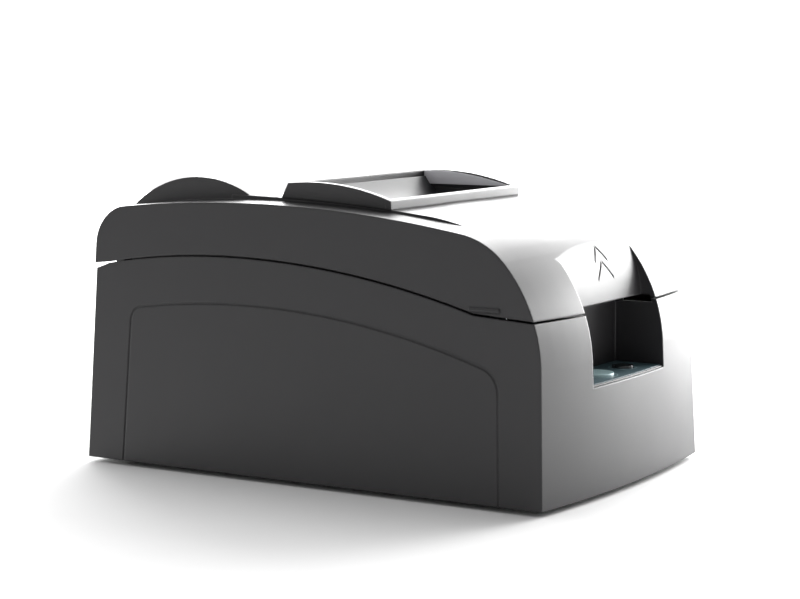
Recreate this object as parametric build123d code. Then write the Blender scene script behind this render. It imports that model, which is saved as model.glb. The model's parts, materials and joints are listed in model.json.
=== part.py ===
from build123d import *
import os
from math import sin, cos, tan, radians, degrees, atan2, hypot, sqrt, pi

# A desktop impact receipt printer.
# The origin is the middle of the footprint on the table. The front faces -Y and +X is to its right, seen from
# the front. All sizes are in millimetres.

# ---------------------------------------------------------------- driving dimensions
# Housing
case_width = 160.0          # across the bottom edges
case_depth = 254.0          # from the middle of the bowed front to the rear, at the bottom
foot_height = 2.5           # the rubber feet lift the case by this much
wall = 2.5                  # wall of the case and the cover
draft = 2.5                 # every upright wall leans in by this angle
front_bow_radius = 558.0    # the front face is an arc in plan
bow_tilt = 15.0             # the bow's axis leans back, so that the cover is crowned as well

half_width = case_width / 2
front_mid_y = -case_depth / 2
rear_y = case_depth / 2

# Side outline, measured at the middle of the width
top_radius = 680.0          # long arc of the cover's top
top_peak_y = 30.7
top_peak_z = 130.0
upper_front_radius = 38.1
lower_front_radius = 71.7
front_straight_top = 62.7   # the front face is straight up to here
rear_shoulder_radius = 19.5

# Shut line between the cover and the case
shut_gap = 1.0
seam_peak_y = 46.5
seam_peak_z = 103.9
seam_rear_y = rear_y - 11.9
seam_rear_z = 97.7
seam_rear_corner_z = 96.8   # cover's lower edge at the rear face
seam_kink_y = front_mid_y + 41.5
seam_kink_z = 85.2
seam_front_z = 83.0         # cover's lower edge at the front face
rear_gap = 2.8              # the shut line opens to this at the rear, so that the cover can swing

# Hinge
hinge_y = rear_y - 6.0
hinge_z = 103.5
hinge_x = 58.0              # middle of each hinge ear
ear_width = 6.0
ear_radius = 2.8
pin_radius = 1.25
pin_clearance = 0.05
ear_side_gap = 0.4
hinge_lug_width = 5.0
hinge_notch_rise = 4.2      # the notch in the cover ends this far above the hinge axis

# Front window, scoop and finger pocket
window_half = 36.6
panel_z = 51.5              # top of the control panel
window_rim_z = panel_z - 1.2  # the front wall stands up to here, below the panel's front edge
pocket_back_y = front_mid_y + 28.5
pocket_back_top = 97.0      # the pocket's back wall stands up inside the cover
pocket_wall = 2.0
scoop_top = (front_mid_y + 27.8, 115.2)  # the scoop's own curve, from its top edge to its lower edge
scoop_middle = (front_mid_y + 18.7, 100.5)
scoop_bottom = (front_mid_y + 15.5, 80.0)
scoop_lower_edge_z = 84.0
chevron_x = 2.5
chevron_heights = (109.2, 102.6)
chevron_half_widths = (6.2, 7.9)
chevron_drops = (6.2, 7.6)
chevron_split = 0.35        # half the gap between a chevron's two strokes
groove_depth = 0.5
groove_width = 1.0

# Raised island, roll dome and paper exit on the cover
island_half = 59.4
exit_half = 56.5            # half the width of the paper exit
exit_front_y = -33.8
exit_rear_y = 25.5
bezel_half = 60.0
bezel_rim = 3.5
bezel_peak_z = 138.0
dome_half = 58.0
dome_radius = 60.0
dome_y = rear_y - 52.5
dome_z = 78.5
tear_bar_depth = 3.2
paper_slot = 6.5            # gap between the tear bar and the paper guide

# Arch groove on the sides of the case
arch_rear_foot_y = rear_y - 20.5
arch_front_foot_y = front_mid_y + 26.5
arch_peak = (42.5, 82.0)
arch_rear_corner = (rear_y - 24.8, 76.9)
arch_front_corner = (front_mid_y + 28.4, 60.0)
arch_rear_radius = 8.0
arch_front_radius = 12.0
arch_depth = 0.4

# ---------------------------------------------------------------- small helpers
far = 400.0
lean = tan(radians(draft))
case_bottom = foot_height


def block(x0, x1, y0, y1, z0, z1):
    """A box given by its two corners."""
    size = (x1 - x0, y1 - y0, z1 - z0)
    middle = ((x0 + x1) / 2, (y0 + y1) / 2, (z0 + z1) / 2)
    return Pos(*middle) * Box(*size)


def rod_x(x0, x1, y, z, radius):
    """A round bar along X."""
    return Pos((x0 + x1) / 2, y, z) * Rot(0, 90, 0) * Cylinder(radius, x1 - x0)


def rod_y(y0, y1, x, z, radius):
    """A round bar along Y."""
    return Pos(x, (y0 + y1) / 2, z) * Rot(90, 0, 0) * Cylinder(radius, y1 - y0)


def rod_z(z0, z1, x, y, radius):
    """A round bar along Z."""
    return Pos(x, y, (z0 + z1) / 2) * Cylinder(radius, z1 - z0)


def across(lines, x0, x1):
    """Closed side outline, drawn in (y, z), extruded from x0 to x1."""
    face = Plane.YZ * make_face(lines)
    return Pos(x0, 0, 0) * extrude(face, amount=x1 - x0)


def side_polygon(points, x0, x1):
    """Straight-sided outline in (y, z), extruded from x0 to x1."""
    return across(Polyline(*points, close=True), x0, x1)


def point_on(centre, radius, angle):
    """Point of a circle, with the angle in degrees from +Y towards +Z."""
    return (centre[0] + radius * cos(radians(angle)), centre[1] + radius * sin(radians(angle)))


def arc(centre, radius, start, end):
    """Arc from one angle to another, both in degrees."""
    middle = point_on(centre, radius, (start + end) / 2)
    return ThreePointArc(point_on(centre, radius, start), middle, point_on(centre, radius, end))


def bearing(start, end):
    """Angle in degrees of the direction from one point to another."""
    return degrees(atan2(end[1] - start[1], end[0] - start[0]))


def end_of(curve, place):
    """Start (0) or end (1) of a curve, as a pair."""
    point = curve @ place
    return (point.X, point.Y)


# ---------------------------------------------------------------- the housing's outer form
rear_overhang = 1.2         # the cover's rear face stands this far outside the case's
rear_roof_slope = 5.7       # degrees, where the top arc meets the rear shoulder
rear_roof_point = (rear_y - 21.9, 124.9)


def tangent_centre(big_centre, big_reach, small_centre, small_reach):
    """Front-most point at given distances from two centres."""
    gap_y = small_centre[0] - big_centre[0]
    gap_z = small_centre[1] - big_centre[1]
    gap = hypot(gap_y, gap_z)
    along = (big_reach ** 2 - small_reach ** 2 + gap ** 2) / (2 * gap)
    aside = sqrt(big_reach ** 2 - along ** 2)
    unit = (gap_y / gap, gap_z / gap)
    foot = (big_centre[0] + along * unit[0], big_centre[1] + along * unit[1])
    one = (foot[0] - aside * unit[1], foot[1] + aside * unit[0])
    other = (foot[0] + aside * unit[1], foot[1] - aside * unit[0])
    return min(one, other)


def bowed_form(inset):
    """Front and top of the housing: the side outline turned about a far axis that leans back."""
    straight = front_straight_top - case_bottom
    lower_start = (front_mid_y + straight * lean, front_straight_top)
    lower_centre = point_on(lower_start, lower_front_radius, -draft)
    top_centre = (top_peak_y, top_peak_z - top_radius)
    upper_centre = tangent_centre(
        top_centre, top_radius - upper_front_radius, lower_centre, lower_front_radius - upper_front_radius)
    lower_angle = bearing(lower_centre, upper_centre)
    top_angle = bearing(top_centre, upper_centre)
    rear_reach = rear_y + 25
    rear_angle = degrees(atan2(sqrt(top_radius ** 2 - (rear_reach - top_peak_y) ** 2), rear_reach - top_peak_y))
    low = case_bottom - 25
    lower = arc(lower_centre, lower_front_radius - inset, 180 - draft, lower_angle)
    upper = arc(upper_centre, upper_front_radius - inset, lower_angle, top_angle)
    top = arc(top_centre, top_radius - inset, top_angle, rear_angle)
    face_start = end_of(lower, 0)
    face_foot = (face_start[0] - (face_start[1] - low) * lean, low)
    rear_end = end_of(top, 1)
    rim = Polyline(rear_end, (rear_end[0], low), face_foot, face_start)
    face = Plane.YZ * make_face([lower, upper, top, rim])
    tilt = radians(bow_tilt)
    axis_y = front_mid_y + front_bow_radius * cos(tilt)
    axis_z = case_bottom - front_bow_radius * sin(tilt)
    axis = Axis((0, axis_y, axis_z), (0, sin(tilt), cos(tilt)))
    half_turn = 32
    return revolve(face.rotate(axis, -half_turn), axis, 2 * half_turn)


def rear_form(inset, overhang):
    """Rear face, rear shoulder and everything in front of them, straight across."""
    slope = tan(radians(rear_roof_slope))
    roof_drop = inset / cos(radians(rear_roof_slope))
    back_in = inset / cos(radians(draft)) - overhang
    roof_at_zero = rear_roof_point[1] + slope * rear_roof_point[0] - roof_drop
    corner_y = (rear_y - back_in - lean * (roof_at_zero - case_bottom)) / (1 - lean * slope)
    corner = (corner_y, roof_at_zero - slope * corner_y)
    low = case_bottom - 20
    foot = (rear_y - back_in + (case_bottom - low) * lean, low)
    front = front_mid_y - 30
    outline = make_face(Polyline(corner, (front, roof_at_zero - slope * front), (front, low), foot, close=True))
    shoulder = outline.vertices().sort_by_distance(Vector(corner[0], corner[1], 0))[0]
    rounded = fillet(shoulder, rear_shoulder_radius - inset)
    return Pos(-case_width, 0, 0) * extrude(Plane.YZ * rounded, amount=2 * case_width)


def side_form(inset):
    """The two drafted side faces."""
    low = case_bottom if inset == 0 else case_bottom - 10
    high = top_peak_z + 20
    sunk = inset / cos(radians(draft))
    low_half = case_width / 2 - sunk - (low - case_bottom) * lean
    high_half = case_width / 2 - sunk - (high - case_bottom) * lean
    outline = make_face(Polyline((-low_half, low), (low_half, low), (high_half, high), (-high_half, high), close=True))
    return extrude(Plane.XZ * outline, amount=case_depth, both=True)


def housing(inset, overhang=0.0):
    """Solid envelope of the closed housing, inset by the same amount on every face."""
    return bowed_form(inset) & rear_form(inset, overhang) & side_form(inset)


def above_line(front_z, kink_z, peak_z, rear_z, corner_z):
    """Everything above a line that runs like the shut line."""
    front = front_mid_y - 40
    rear = rear_y + 10
    kink = (seam_kink_y, kink_z)
    peak = (seam_peak_y, peak_z)
    front_rise = peak_z - kink_z
    front_run = seam_peak_y - seam_kink_y
    front_radius = (front_run ** 2 + front_rise ** 2) / (2 * front_rise)
    rear_drop = peak_z - rear_z
    rear_run = seam_rear_y - seam_peak_y
    rear_radius = (rear_run ** 2 + rear_drop ** 2) / (2 * rear_drop)
    front_centre = (seam_peak_y, peak_z - front_radius)
    rear_centre = (seam_peak_y, peak_z - rear_radius)
    rising = arc(front_centre, front_radius, bearing(front_centre, kink), 90)
    falling = arc(rear_centre, rear_radius, 90, bearing(rear_centre, (seam_rear_y, rear_z)))
    step = (corner_z - rear_z) / (rear_y - 3 - seam_rear_y)
    rear_end = (rear, rear_z + step * (rear - seam_rear_y))
    high = top_peak_z + 60
    corner_front = (front_mid_y + 8, front_z)
    rim = Polyline(
        end_of(falling, 1), rear_end, (rear, high), (front, high), (front, front_z), corner_front, kink)
    return across([rising, falling, rim], -case_width, case_width)


def cover_zone():
    """Everything above the cover's lower edge."""
    return above_line(seam_front_z, seam_kink_z, seam_peak_z, seam_rear_z, seam_rear_corner_z)


def above_case():
    """Everything above the case's upper edge."""
    drop = shut_gap
    return above_line(
        seam_front_z - drop, seam_kink_z - drop, seam_peak_z - drop, seam_rear_z - drop / 2,
        seam_rear_corner_z - rear_gap)


# ---------------------------------------------------------------- lower case
plate_clearance = 0.3       # around the base plate
base_thickness = 2.0
boss_x = half_width - 11.0
boss_rows = (front_mid_y + 27.0, 4.0, rear_y - 19.0)
boss_places = [(side * boss_x, row) for row in boss_rows for side in (-1, 1)]
boss_radius = 4.0
boss_top = 20.0
boss_bore_radius = 1.3
screw_radius = 1.25
panel_thickness = 1.8
membrane_thickness = 0.4
ledge_depth = 2.0
ledge_width = 1.2
front_recess = 0.6          # the panel plate stands this far behind the front face
socket_gap = 0.25
lip_gap = 0.4
lip_thickness = 1.4
lip_rise = 2.0
lip_root = 3.0
lip_rear_y = rear_y - 23.0
board_z = 9.0
board_thickness = 1.6

membrane_top = panel_z
plate_top = membrane_top - membrane_thickness
plate_bottom = plate_top - panel_thickness

# Rear sockets and power switch: middle x, width, bottom, top of each body
socket_floor = board_z + board_thickness
power_socket_x = -46.0
power_socket_width = 14.0
power_socket_height = 13.0
data_socket_x = -14.0
data_socket_width = 12.0
data_socket_height = 11.0
drawer_socket_x = 14.0
drawer_socket_width = 13.0
drawer_socket_height = 12.0
switch_x = 50.0
switch_width = 14.0
switch_bottom = 14.0
switch_height = 22.0


def rear_face_y(z):
    """Outer rear face of the case at a height."""
    return rear_y - (z - case_bottom) * lean


def arch_outline(sunk):
    """The arch on the case's sides, drawn inside its outer line by some amount."""
    rear_foot = (arch_rear_foot_y - sunk, case_bottom - 5)
    front_foot = (arch_front_foot_y + sunk, case_bottom - 5)
    rear_corner = (arch_rear_corner[0] - sunk, arch_rear_corner[1] - sunk)
    front_corner = (arch_front_corner[0] + sunk, arch_front_corner[1] - sunk)
    peak = (arch_peak[0], arch_peak[1] - sunk)
    crown = ThreePointArc(rear_corner, peak, front_corner)
    rim = Polyline(front_corner, front_foot, rear_foot, rear_corner)
    face = make_face([crown, rim])
    for corner, radius in ((rear_corner, arch_rear_radius), (front_corner, arch_front_radius)):
        vertex = face.vertices().sort_by_distance(Vector(corner[0], corner[1], 0))[0]
        face = fillet(vertex, radius - sunk)
    return face


def side_groove():
    """Thin engraved line along the arch, on both sides."""
    ring = arch_outline(0.0) - arch_outline(groove_width)
    band = Pos(-case_width, 0, 0) * extrude(Plane.YZ * ring, amount=2 * case_width)
    return band - housing(arch_depth)


def pocket_shell():
    """Finger pocket behind the front window: side walls, back wall and a ledge for the panel."""
    half = window_half + pocket_wall
    front = front_mid_y - 2
    back = pocket_back_y + pocket_wall
    low = plate_bottom - ledge_depth
    high = seam_front_z - shut_gap - 1.5
    shell = block(-half, half, front, back, low, high)
    shell -= block(-window_half, window_half, front - 1, pocket_back_y, plate_bottom, high + 1)
    inner = window_half - ledge_width
    shell -= block(-inner, inner, front + 5.7 + ledge_width, pocket_back_y - ledge_width, low - 1, high)
    shell &= housing(wall / 2)
    return shell + block(-half, half, pocket_back_y, back, low, pocket_back_top)


def seam_lip():
    """Rib inside each side wall that stands up behind the shut line and closes it to light."""
    lip_front = seam_kink_y + 6
    zone = block(-far, far, lip_front, lip_rear_y, 0, far)
    sheet = housing(wall + lip_gap) - housing(wall + lip_gap + lip_thickness)
    root = housing(wall - 0.1) - housing(wall + lip_gap + lip_thickness)
    foot = Pos(0, 0, -shut_gap - lip_root) * cover_zone()
    crest = Pos(0, 0, lip_rise) * cover_zone()
    upper = (sheet & zone & foot) - crest
    lower = (root & zone & foot) - above_case()
    sides = block(-far, -case_width / 4, -far, far, 0, far) + block(case_width / 4, far, -far, far, 0, far)
    return (upper + lower) & sides


def rear_opening(x, width, bottom, height, gap):
    """Cutter through the rear wall for a socket body."""
    half = width / 2 + gap
    return block(x - half, x + half, rear_y - 12, rear_y + 5, bottom - gap, bottom + height + gap)


def lower_case():
    """Tall open-topped, open-bottomed shell with the window, the pocket, bosses and hinge ears."""
    shell = housing(0.0) - housing(wall)
    shell -= above_case()
    window_cut = block(
        -window_half, window_half, front_mid_y - 5, front_mid_y + 12, window_rim_z, seam_front_z + 5)
    shell = (shell + pocket_shell() + seam_lip()) - window_cut - side_groove()
    floor_top = case_bottom + base_thickness
    for x, y in boss_places:
        side = 1 if x > 0 else -1
        boss = rod_z(floor_top, boss_top, x, y, boss_radius)
        reach = side * (half_width - wall / 2)
        web = block(min(x, reach), max(x, reach), y - 1.2, y + 1.2, floor_top, boss_top)
        boss += web & housing(wall / 2)
        shell += boss - rod_z(floor_top - 1, boss_top - 3, x, y, boss_bore_radius)
    shell -= rear_opening(power_socket_x, power_socket_width, socket_floor, power_socket_height, socket_gap)
    shell -= rear_opening(data_socket_x, data_socket_width, socket_floor, data_socket_height, socket_gap)
    shell -= rear_opening(drawer_socket_x, drawer_socket_width, socket_floor, drawer_socket_height, socket_gap)
    shell -= rear_opening(switch_x, switch_width, switch_bottom, switch_height, socket_gap)
    for side in (-1, 1):
        shell += hinge_ear(side * hinge_x)
    return shell


def hinge_ear(x):
    """Upright tab on the rear wall with the bore for a hinge pin."""
    low = seam_rear_corner_z - rear_gap - 14
    front = hinge_y - ear_radius
    back = rear_face_y(low) - wall / 2
    outline = side_polygon(
        ((front, hinge_z), (front, low + 8), (back, low), (rear_face_y(low), low),
         (rear_face_y(seam_rear_corner_z - rear_gap), seam_rear_corner_z - rear_gap),
         (hinge_y + ear_radius, hinge_z)),
        x - ear_width / 2, x + ear_width / 2)
    ear = outline + rod_x(x - ear_width / 2, x + ear_width / 2, hinge_y, hinge_z, ear_radius)
    return ear - rod_x(x - ear_width, x + ear_width, hinge_y, hinge_z, pin_radius)


# ---------------------------------------------------------------- top cover
tab_front_y = front_mid_y + 28.5
tab_rear_y = front_mid_y + 43.5
tab_low_z = 85.6
tab_high_z = 88.0
tab_proud = 1.0
dome_wall = 2.5
island_wall = 2.5


def scoop_zone(sunk, low, high):
    """Everything in front of the scoop's curve, moved inwards by some amount."""
    top = (scoop_top[0] + sunk, scoop_top[1])
    middle = (scoop_middle[0] + sunk, scoop_middle[1])
    bottom = (scoop_bottom[0] + sunk, scoop_bottom[1])
    curve = ThreePointArc(bottom, middle, top)
    slope = curve % 1
    reach = 12.0
    ahead = (top[0] + slope.X * reach, top[1] + slope.Y * reach)
    front = front_mid_y - 20
    rim = Polyline(top, ahead, (front, ahead[1]), (front, bottom[1]), bottom)
    return across([curve, rim], low, high)


def chevrons():
    """Two engraved upward arrows on the scoop, each of two separate strokes."""
    strokes = None
    for height, half, drop in zip(chevron_heights, chevron_half_widths, chevron_drops):
        for side in (-1, 1):
            inner = chevron_x + side * chevron_split
            outer = chevron_x + side * half
            outline = Polyline(
                (inner, height), (outer, height - drop), (outer, height - drop - 1.4 * groove_width),
                (inner, height - 1.4 * groove_width), close=True)
            stroke = Pos(0, front_mid_y + 45, 0) * extrude(Plane.XZ * make_face(outline), amount=50)
            strokes = stroke if strokes is None else strokes + stroke
    return strokes & scoop_zone(groove_depth, -window_half, window_half)


def island_form(sunk, half):
    """Raised flat-topped middle of the cover, drawn inside its top by some amount."""
    rear = dome_y - 20
    rear_top = (rear, 130.9 - sunk)
    middle = (6.0, 129.6 - sunk)
    shoulder = (-54.0, 124.6 - sunk)
    nose_middle = (-67.0, 122.1 - sunk)
    nose = (-82.0, 117.2 - sunk)
    long_arc = ThreePointArc(rear_top, middle, shoulder)
    nose_arc = ThreePointArc(shoulder, nose_middle, nose)
    low = 100.0
    rim = Polyline(nose, (nose[0], low), (rear, low), rear_top)
    return across([long_arc, nose_arc, rim], -half, half)


def dome_form(radius, half):
    """Cylinder that the roll's dome is part of."""
    return rod_x(-half, half, dome_y, dome_z, radius)


def roll_zone():
    """The part of the dome's cylinder that opens the cover's roof, ending where it comes down to the roof."""
    run = sqrt(dome_radius ** 2 - (rear_roof_point[1] - dome_z) ** 2)
    return block(-far, far, dome_y - run + 2, dome_y + run, rear_roof_point[1] - wall - 3, far)


def hinge_lug(x):
    """Plate on the cover beside an ear."""
    x0 = x - hinge_lug_width / 2
    x1 = x + hinge_lug_width / 2
    back = rear_y + rear_overhang - (hinge_z - case_bottom) * lean - wall / 2
    plate = block(x0, x1, hinge_y - ear_radius, back, hinge_z, hinge_z + 12)
    plate += rod_x(x0, x1, hinge_y, hinge_z, ear_radius)
    return plate & housing(wall / 2, rear_overhang)


def top_cover():
    """Hinged lid: skirt and roof, raised island, roll dome, scoop, paper opening, hinge lugs and finger tabs."""
    outer = housing(0.0, rear_overhang)
    inner = housing(wall, rear_overhang)
    above = cover_zone() & block(-case_width, case_width, -case_depth, case_depth, 60, 200)
    shell = (outer - inner) & above
    island = island_form(0.0, island_half) - island_form(island_wall, island_half - island_wall)
    shell += island - inner
    dome_zone = block(-far, far, -far, far, rear_roof_point[1] - 12, far)
    dome = (dome_form(dome_radius, dome_half) & dome_zone) - dome_form(dome_radius - dome_wall, dome_half - dome_wall)
    shell += dome - inner
    shell -= dome_form(dome_radius - dome_wall, dome_half - dome_wall) & roll_zone()
    half = window_half + wall
    scoop_back = (scoop_zone(wall, -half, half) & outer) & above
    shell = (shell + scoop_back) - scoop_zone(0.0, -window_half, window_half) - chevrons()
    below_scoop = block(-half - 0.01, half + 0.01, -far, pocket_back_y, 60, scoop_lower_edge_z)
    shell -= below_scoop & inner
    shell -= block(-exit_half, exit_half, exit_front_y + tear_bar_depth, exit_rear_y - bezel_rim, 100, far)
    for side in (-1, 1):
        ear_x = side * hinge_x
        notch_half = ear_width / 2 + ear_side_gap
        shell -= block(
            ear_x - notch_half, ear_x + notch_half, hinge_y - 6, rear_y + 10, 80, hinge_z + hinge_notch_rise)
        for lug_side in (-1, 1):
            shell += hinge_lug(ear_x + lug_side * (notch_half + hinge_lug_width / 2))
        bore_half = notch_half + hinge_lug_width
        shell -= rod_x(ear_x - bore_half, ear_x + bore_half, hinge_y, hinge_z, pin_radius + pin_clearance)
        shell += finger_tab(side)
    return shell


def finger_tab(side):
    """Rounded grip bar, slightly proud of the cover's side at the shut line."""
    middle_z = (tab_low_z + tab_high_z) / 2
    radius = (tab_high_z - tab_low_z) / 2
    face_x = case_width / 2 - (middle_z - case_bottom) * lean
    bar = rod_y(tab_front_y, tab_rear_y, side * (face_x - radius + tab_proud), middle_z, radius)
    return bar


# ---------------------------------------------------------------- paper exit on the cover
bezel_rear_inner_y = 18.5
guide_thickness = 1.6
guide_half = 50.0
guide_side_gap = 0.3
guide_top = (17.4, 134.8)
guide_middle = (3.0, 121.0)
guide_low_z = 117.5


def exit_outline():
    """Side outline of the raised frame round the paper exit, reaching below the island's top."""
    rear_top = (22.0, bezel_peak_z - 0.7)
    peak = (6.9, bezel_peak_z)
    front_top = (exit_front_y, 130.7)
    low = 110.0
    crown = ThreePointArc(rear_top, peak, front_top)
    rim = Polyline(front_top, (exit_front_y, low), (exit_rear_y + 1.5, low), (exit_rear_y, 130.7), rear_top)
    return [crown, rim]


def exit_frame():
    """Raised frame, standing on the island's top."""
    frame = across(exit_outline(), -bezel_half, bezel_half)
    return frame - island_form(0.0, far) - housing(0.0, rear_overhang)


def paper_bezel():
    """Three-sided frame round the paper exit. The tear bar closes it at the front."""
    bar_rear = exit_front_y + tear_bar_depth
    frame = exit_frame() - block(-far, far, -far, bar_rear, 0, far)
    return frame - block(-exit_half, exit_half, bar_rear - 1, bezel_rear_inner_y, 0, far)


def tear_bar():
    """Bar across the front of the paper exit, with its top rear edge cut down to a tearing edge."""
    bar_rear = exit_front_y + tear_bar_depth
    bar = exit_frame() & block(-far, far, exit_front_y, bar_rear, 0, far)
    relief = side_polygon(
        ((bar_rear - 1.6, 133.0), (bar_rear + 0.1, 133.0), (bar_rear + 0.1, 129.6)), -exit_half, exit_half)
    return bar - relief


def paper_guide():
    """Curved ramp inside the paper exit that leads the paper to the tear bar."""
    low_y = exit_front_y + tear_bar_depth + paper_slot
    curve = ThreePointArc(guide_top, guide_middle, (low_y, guide_low_z))
    face = Plane.YZ * make_face(
        [curve, Line((low_y, guide_low_z), (low_y, guide_low_z - guide_thickness)),
         ThreePointArc(
             (low_y, guide_low_z - guide_thickness),
             (guide_middle[0] + 1.1, guide_middle[1] - 1.1),
             (guide_top[0] + guide_thickness - guide_side_gap - 0.3, guide_top[1])),
         Line((guide_top[0] + guide_thickness - guide_side_gap - 0.3, guide_top[1]), guide_top)])
    half = exit_half - guide_side_gap
    ramp = Pos(-half, 0, 0) * extrude(face, amount=2 * half)
    for side in (-1, 1):
        edge = side * guide_half
        outer = side * (exit_half + 1)
        ramp -= block(min(edge, outer), max(edge, outer), low_y - 1, low_y + 20, 100, 125)
    return ramp


# ---------------------------------------------------------------- base
foot_radius = 7.0
foot_x = half_width - 18.0
foot_rows = (front_mid_y + 23.0, rear_y - 17.0)
foot_places = [(side * foot_x, row) for row in foot_rows for side in (-1, 1)]
screw_head_radius = 2.6
screw_head_depth = 1.3
base_hole_radius = 1.5
tray_z = 30.0
tray_thickness = 1.5
tray_front_y = -92.0
tray_rear_y = 2.0
tray_half = 59.2
post_radius = 4.0
post_places = ((-50.0, -60.0), (50.0, -60.0), (-50.0, -6.0), (50.0, -6.0), (0.0, -84.0))
board_half = 40.0
board_front_y = 8.0
board_rear_y = rear_y - 7.0
standoff_radius = 3.0
standoff_places = ((-35.0, 13.0), (35.0, 13.0), (-35.0, 100.0), (35.0, 100.0))


def base_plate():
    """Flat bottom with posts for the mechanism and stand-offs for the main board."""
    top = case_bottom + base_thickness
    plate = housing(wall + plate_clearance) & block(-far, far, -far, far, case_bottom, top)
    for x, y in boss_places:
        plate -= rod_z(case_bottom - 1, top + 1, x, y, base_hole_radius)
        plate -= rod_z(case_bottom - 1, case_bottom + screw_head_depth, x, y, screw_head_radius + 0.2)
    for x, y in post_places:
        plate += rod_z(top, tray_z, x, y, post_radius)
    for x, y in standoff_places:
        plate += rod_z(top, board_z, x, y, standoff_radius)
        plate -= rod_z(top + 0.5, board_z + 1, x, y, boss_bore_radius)
    return plate


def feet():
    """Four round rubber feet."""
    return [rod_z(0, foot_height, x, y, foot_radius) for x, y in foot_places]


def screw(x, y, head_bottom, tip, radius, head_radius, head_depth):
    """Upright screw with its head at one end."""
    up = 1 if tip > head_bottom else -1
    head_end = head_bottom + up * head_depth
    head = rod_z(min(head_bottom, head_end), max(head_bottom, head_end), x, y, head_radius)
    shank = rod_z(min(head_bottom, tip), max(head_bottom, tip), x, y, radius)
    slot = block(x - head_radius, x + head_radius, y - 0.3, y + 0.3, head_bottom - 0.5, head_bottom + 0.5)
    cross = block(x - 0.3, x + 0.3, y - head_radius, y + head_radius, head_bottom - 0.5, head_bottom + 0.5)
    return head + shank - slot - cross


def base_screws():
    """Screws from below through the base plate into the case's bosses."""
    head_bottom = case_bottom
    tip = boss_top - 5
    return [screw(x, y, head_bottom, tip, screw_radius, screw_head_radius, screw_head_depth) for x, y in boss_places]


# ---------------------------------------------------------------- main board and rear sockets
def main_board():
    """Circuit board under the roll bin."""
    board = block(-board_half, board_half, board_front_y, board_rear_y, board_z, board_z + board_thickness)
    for x, y in standoff_places:
        board -= rod_z(board_z - 1, board_z + board_thickness + 1, x, y, base_hole_radius)
    return board


def board_chips():
    """Packages and capacitors on the main board."""
    top = board_z + board_thickness
    chips = [
        block(-16, 4, 36, 56, top, top + 1.6),
        block(12, 26, 34, 44, top, top + 1.4),
        block(12, 26, 50, 60, top, top + 1.4),
        block(-34, -24, 40, 66, top, top + 1.6),
    ]
    for x in (-24.0, -10.0, 6.0):
        chips.append(rod_z(top, top + 9, x, 20, 4.0))
    chips.append(block(-30, 30, 26, 31, top, top + 5.5))
    return chips


def board_screws():
    """Screws that hold the main board on its stand-offs."""
    head_top = board_z + board_thickness + 1.2
    tip = case_bottom + base_thickness + 1
    return [screw(x, y, head_top, tip, screw_radius, 2.4, 1.2) for x, y in standoff_places]


def socket_body(x, width, height, depth):
    """Block of a board-mounted socket, flush with the case's rear face."""
    low = socket_floor
    front = rear_y - depth
    back = rear_y + 2
    body = block(x - width / 2, x + width / 2, front, back, low, low + height)
    return body & rear_form(0.0, 0.0)


def power_socket():
    """Round three-pin power inlet."""
    middle_z = socket_floor + power_socket_height / 2
    body = socket_body(power_socket_x, power_socket_width, power_socket_height, 17)
    body -= rod_y(rear_y - 9, rear_y + 3, power_socket_x, middle_z, 5.0)
    for angle in (90, 210, 330):
        x, z = point_on((power_socket_x, middle_z), 2.6, angle)
        body -= rod_y(rear_y - 14, rear_y - 8, x, z, 0.7)
    return body


def data_socket():
    """Square data socket with its upper corners cut off and a tongue inside."""
    x = data_socket_x
    low = socket_floor + 1.5
    body = socket_body(x, data_socket_width, data_socket_height, 17)
    outline = Polyline(
        (x - 4.2, low), (x + 4.2, low), (x + 4.2, low + 6.2), (x + 2.6, low + 8.0), (x - 2.6, low + 8.0),
        (x - 4.2, low + 6.2), close=True)
    mouth = Pos(0, rear_y + 3, 0) * extrude(Plane.XZ * make_face(outline), amount=12)
    return body - mouth


def drawer_socket():
    """Modular socket for the cash drawer lead."""
    x = drawer_socket_x
    low = socket_floor + 1.5
    body = socket_body(x, drawer_socket_width, drawer_socket_height, 17)
    body -= block(x - 4.9, x + 4.9, rear_y - 10, rear_y + 3, low + 2.0, low + 9.0)
    return body - block(x - 3.0, x + 3.0, rear_y - 10, rear_y + 3, low, low + 3)


# ---------------------------------------------------------------- power switch
rocker_tilt = 8.0
rocker_axis_y = rear_y - 9.0
rocker_half_height = 7.2
rocker_half_width = 4.2
rocker_reach = 7.8
switch_side_gap = 0.4
switch_middle_z = switch_bottom + switch_height / 2
switch_hole_half = 9.2


def switch_frame():
    """Fixed frame of the power switch, with the rocker's pin through it."""
    half = switch_width / 2
    back = rear_y + 2
    body = block(switch_x - half, switch_x + half, rear_y - 19, back, switch_bottom, switch_bottom + switch_height)
    body &= rear_form(0.0, 0.0)
    hole_half = rocker_half_width + switch_side_gap
    body -= block(
        switch_x - hole_half, switch_x + hole_half, rear_y - 17, back, switch_middle_z - switch_hole_half,
        switch_middle_z + switch_hole_half)
    pin = rod_x(switch_x - half + 1, switch_x + half - 1, rocker_axis_y, switch_middle_z, 1.2)
    return body + pin


def switch_rocker():
    """Rocker key, at rest with its lower end out."""
    low = switch_middle_z - rocker_half_height
    high = switch_middle_z + rocker_half_height
    back = rocker_axis_y + rocker_reach
    outline = side_polygon(
        ((rocker_axis_y - 3, switch_middle_z - 3), (rocker_axis_y + 3, low), (back, low),
         (back - 1.2, switch_middle_z), (back, high), (rocker_axis_y + 3, high),
         (rocker_axis_y - 3, switch_middle_z + 3)),
        switch_x - rocker_half_width, switch_x + rocker_half_width)
    key = outline - rod_x(0, 100, rocker_axis_y, switch_middle_z, 1.2 + pin_clearance)
    axis = Axis((0, rocker_axis_y, switch_middle_z), (1, 0, 0))
    return key.rotate(axis, -rocker_tilt)


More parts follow.
